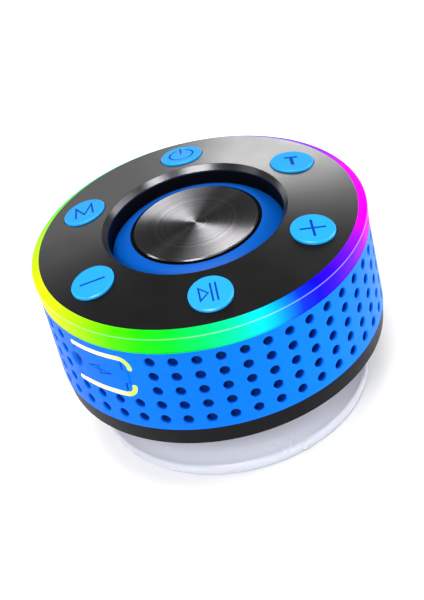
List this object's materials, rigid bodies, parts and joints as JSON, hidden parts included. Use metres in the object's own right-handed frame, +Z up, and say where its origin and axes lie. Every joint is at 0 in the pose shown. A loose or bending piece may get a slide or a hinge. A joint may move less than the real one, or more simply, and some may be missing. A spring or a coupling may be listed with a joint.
{
  "type": "shower speaker",
  "caption": "Round waterproof speaker with a ring light, top keys, central passive radiator, perforated side and clear suction cup.",
  "frame": {"origin": "bottom centre of the suction cup's lip", "axes": "+Z up along the body's axis, through the radiator disc; +Y towards the power button, so the legends read upright from -Y"},
  "size_m": [0.09, 0.09, 0.0587],
  "materials": {
    "black_case": "satin black moulding",
    "blue_shell": "satin blue moulding",
    "liner_cloth": "fine dark blue mesh",
    "light_guide": "frosted light guide",
    "flex_circuit": "white flexible circuit",
    "lamp_lens": "clear lamp",
    "black_panel": "satin black, slightly glossy",
    "bezel_metal": "turned, dark grey",
    "silicone_grey": "translucent grey silicone",
    "board_green": "green solder mask",
    "switch_metal": "stamped cover, dark plunger",
    "screw_steel": "plated",
    "seal_rubber": "black rubber",
    "tub_blue": "dark blue moulding",
    "blue_rubber": "soft blue rubber",
    "chip_black": "moulded packages",
    "can_metal": "shield can",
    "pouch_foil": "foil pouch",
    "foam_grey": "closed cell foam",
    "basket_steel": "black pressed steel",
    "plate_steel": "zinc plated steel",
    "magnet_nickel": "nickel plated magnet",
    "coil_copper": "copper winding on a former",
    "cone_paper": "pressed black paper",
    "spider_cloth": "resin treated cloth",
    "surround_blue": "blue rubber roll",
    "spun_metal": "spun, fine circular grain",
    "clear_cup": "clear soft plastic",
    "port_light": "lit light pipe",
    "button_blue": "bright blue caps"
  },
  "bodies": {
    "body": {"base_cover": "black_case", "base_screws": "screw_steel", "battery_cell": "pouch_foil", "battery_pad": "foam_grey", "bezel_trim": "bezel_metal", "board_chips": "chip_black", "board_screws": "screw_steel", "deck": "black_case", "deck_screws": "screw_steel", "deck_seal": "seal_rubber", "driver_basket": "basket_steel", "driver_gasket": "seal_rubber", "driver_magnet": "magnet_nickel", "driver_screws": "screw_steel", "driver_surround": "seal_rubber", "driver_yoke": "plate_steel", "flap_pin": "screw_steel", "front_plate": "plate_steel", "grille_liner": "liner_cloth", "grille_sleeve": "blue_shell", "inner_tub": "tub_blue", "key_board": "board_green", "key_mat": "silicone_grey", "led_strip": "flex_circuit", "light_ring": "light_guide", "main_board": "board_green", "panel_screws": "screw_steel", "port_frame": "blue_shell", "port_light_lower": "port_light", "port_light_upper": "port_light", "radiator_surround": "surround_blue", "radiator_well": "black_case", "radio_module": "can_metal", "rgb_leds": "lamp_lens", "spider": "spider_cloth", "tact_switches": "switch_metal", "top_panel": "black_panel", "usb_shell": "screw_steel", "usb_tongue": "black_case"},
    "radiator": {"radiator_disc": "spun_metal", "radiator_carrier": "black_case", "radiator_weight": "plate_steel"},
    "cone": {"driver_cone": "cone_paper", "voice_coil": "coil_copper", "dust_cap": "cone_paper"},
    "cup": {"suction_cup": "clear_cup", "cup_insert": "black_case", "cup_seal": "seal_rubber"},
    "flap": {"port_flap": "blue_rubber"},
    "key_power": {"button_power": "button_blue"},
    "key_t": {"button_t": "button_blue"},
    "key_plus": {"button_plus": "button_blue"},
    "key_play": {"button_play": "button_blue"},
    "key_minus": {"button_minus": "button_blue"},
    "key_m": {"button_m": "button_blue"}
  },
  "joints": [
    {"name": "power_press", "type": "slide", "parent": "body", "child": "key_power", "axis": [0, 0, -1], "range_m": [0, 0.0006], "stiffness_N_per_m": 900, "deforming": ["key_mat"]},
    {"name": "t_press", "type": "slide", "parent": "body", "child": "key_t", "axis": [0, 0, -1], "range_m": [0, 0.0006], "stiffness_N_per_m": 900, "deforming": ["key_mat"]},
    {"name": "plus_press", "type": "slide", "parent": "body", "child": "key_plus", "axis": [0, 0, -1], "range_m": [0, 0.0006], "stiffness_N_per_m": 900, "deforming": ["key_mat"]},
    {"name": "play_press", "type": "slide", "parent": "body", "child": "key_play", "axis": [0, 0, -1], "range_m": [0, 0.0006], "stiffness_N_per_m": 900, "deforming": ["key_mat"]},
    {"name": "minus_press", "type": "slide", "parent": "body", "child": "key_minus", "axis": [0, 0, -1], "range_m": [0, 0.0006], "stiffness_N_per_m": 900, "deforming": ["key_mat"]},
    {"name": "m_press", "type": "slide", "parent": "body", "child": "key_m", "axis": [0, 0, -1], "range_m": [0, 0.0006], "stiffness_N_per_m": 900, "deforming": ["key_mat"]},
    {"name": "flap_swing", "type": "hinge", "parent": "body", "child": "flap", "pos_m": [-0.02495, -0.03606, 0.0409], "axis": [0, 0, 1], "range_deg": [0, 90]},
    {"name": "radiator_bounce", "type": "slide", "parent": "body", "child": "radiator", "axis": [0, 0, 1], "range_m": [-0.0012, 0.0012], "stiffness_N_per_m": 2000, "deforming": ["radiator_surround"]},
    {"name": "cone_drive", "type": "slide", "parent": "body", "child": "cone", "axis": [0, 0, -1], "range_m": [-0.001, 0.001], "stiffness_N_per_m": 1000, "deforming": ["driver_surround", "spider"]},
    {"name": "cup_twist", "type": "hinge", "parent": "body", "child": "cup", "pos_m": [0, 0, 0.0188], "axis": [0, 0, 1], "range_deg": [0, 60]}
  ]
}
